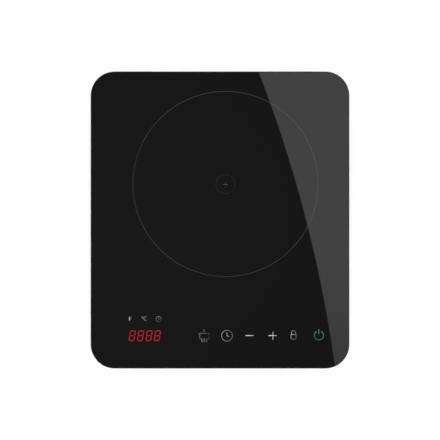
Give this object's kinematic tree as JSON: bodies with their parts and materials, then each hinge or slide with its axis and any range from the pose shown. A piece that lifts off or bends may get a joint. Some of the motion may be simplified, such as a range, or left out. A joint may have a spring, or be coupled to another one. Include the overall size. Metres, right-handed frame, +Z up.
{
  "type": "induction cooktop",
  "caption": "Portable single-zone induction cooktop: black glass plate with printed pan ring, touch keys and red digits, over a low ventilated case on rubber feet.",
  "frame": {"origin": "under the middle of the glass plate, on the surface that the feet stand on", "axes": "+X to the user's right, +Y to the rear, +Z up; the touch keys are at the front, -Y"},
  "size_m": [0.28, 0.3216, 0.06],
  "materials": {
    "board_sockets": "white nylon",
    "bottom_housing": "black heat-resistant plastic, fine texture",
    "bridge_rectifier": "moulded epoxy with tinned legs",
    "buzzer": "black plastic can",
    "choke_core": "coated ferrite ring",
    "choke_winding": "enamelled copper",
    "coil_former": "dark glass-filled plastic",
    "coil_leads": "glass-fibre sleeve over copper litz",
    "coil_screws": "zinc plated",
    "coil_terminals": "bare brass posts",
    "control_board": "dark green solder mask",
    "control_board_screws": "zinc plated",
    "cord_gland": "black moulded rubber",
    "device_screws": "zinc plated",
    "digit_display": "black display body",
    "display_segments": "red diffusing segments",
    "driver_chip": "moulded epoxy",
    "electrolytic_capacitors": "dark blue sleeve on an aluminium can",
    "fan_bearing": "sintered bronze sleeve",
    "fan_frame": "black glass-filled plastic",
    "fan_impeller": "black moulded plastic",
    "fan_lead": "red wire",
    "fan_magnet": "bonded ferrite strip",
    "fan_screws": "zinc plated",
    "fan_spindle": "ground steel",
    "fan_stator": "laminated steel",
    "ferrite_bars": "dark grey ferrite",
    "foot_front_left": "dark grey rubber",
    "foot_front_right": "dark grey rubber",
    "foot_rear_left": "dark grey rubber",
    "foot_rear_right": "dark grey rubber",
    "fuse_clips": "tinned brass",
    "glass_seal": "black silicone bead",
    "glass_thermistor": "glass bead",
    "glass_top": "black glass-ceramic, polished, opaque, with fine grey printing",
    "heatsink": "bare extruded aluminium",
    "housing_screws": "zinc plated",
    "igbt": "moulded epoxy with tinned legs",
    "indicator_leds": "small moulded lamps",
    "indicator_mask": "black light mask",
    "induction_coil": "lacquered copper litz",
    "key_leds": "small moulded lamps",
    "main_board": "green solder mask",
    "main_board_screws": "zinc plated",
    "mains_filter_capacitor": "yellow boxed film capacitor",
    "mains_fuse": "white ceramic tube",
    "mains_terminal_block": "green plastic",
    "mica_sheet": "pale mica, translucent flecks",
    "rating_plate": "blank satin foil label",
    "resonant_capacitor": "pale boxed film capacitor",
    "ribbon_cable": "grey ribbon cable",
    "sensor_boot": "white silicone",
    "sensor_lead": "white silicone wire",
    "smoothing_capacitor": "pale boxed film capacitor",
    "touch_chip": "moulded epoxy",
    "touch_springs": "plated spring wire",
    "transformer_core": "dark grey ferrite",
    "transformer_winding": "yellow tape over the winding",
    "upper_frame": "black heat-resistant plastic, fine texture",
    "varistor": "blue coated disc"
  },
  "bodies": {
    "housing": {"board_sockets": "board_sockets", "bottom_housing": "bottom_housing", "bridge_rectifier": "bridge_rectifier", "buzzer": "buzzer", "choke_core": "choke_core", "choke_winding": "choke_winding", "coil_former": "coil_former", "coil_leads": "coil_leads", "coil_screws": "coil_screws", "coil_terminals": "coil_terminals", "control_board": "control_board", "control_board_screws": "control_board_screws", "cord_gland": "cord_gland", "device_screws": "device_screws", "digit_display": "digit_display", "display_segments": "display_segments", "driver_chip": "driver_chip", "electrolytic_capacitors": "electrolytic_capacitors", "fan_bearing": "fan_bearing", "fan_frame": "fan_frame", "fan_lead": "fan_lead", "fan_screws": "fan_screws", "fan_stator": "fan_stator", "ferrite_bars": "ferrite_bars", "foot_front_left": "foot_front_left", "foot_front_right": "foot_front_right", "foot_rear_left": "foot_rear_left", "foot_rear_right": "foot_rear_right", "fuse_clips": "fuse_clips", "glass_seal": "glass_seal", "glass_thermistor": "glass_thermistor", "glass_top": "glass_top", "heatsink": "heatsink", "housing_screws": "housing_screws", "igbt": "igbt", "indicator_leds": "indicator_leds", "indicator_mask": "indicator_mask", "induction_coil": "induction_coil", "key_leds": "key_leds", "main_board": "main_board", "main_board_screws": "main_board_screws", "mains_filter_capacitor": "mains_filter_capacitor", "mains_fuse": "mains_fuse", "mains_terminal_block": "mains_terminal_block", "mica_sheet": "mica_sheet", "rating_plate": "rating_plate", "resonant_capacitor": "resonant_capacitor", "ribbon_cable": "ribbon_cable", "sensor_boot": "sensor_boot", "sensor_lead": "sensor_lead", "smoothing_capacitor": "smoothing_capacitor", "touch_chip": "touch_chip", "touch_springs": "touch_springs", "transformer_core": "transformer_core", "transformer_winding": "transformer_winding", "upper_frame": "upper_frame", "varistor": "varistor"},
    "fan_rotor": {"fan_impeller": "fan_impeller", "fan_magnet": "fan_magnet", "fan_spindle": "fan_spindle"}
  },
  "joints": [
    {"name": "fan_spin", "type": "hinge", "parent": "housing", "child": "fan_rotor", "pos_m": [-0.07045, 0.087, 0.0195], "axis": [0, 0, 1], "continuous": true}
  ]
}
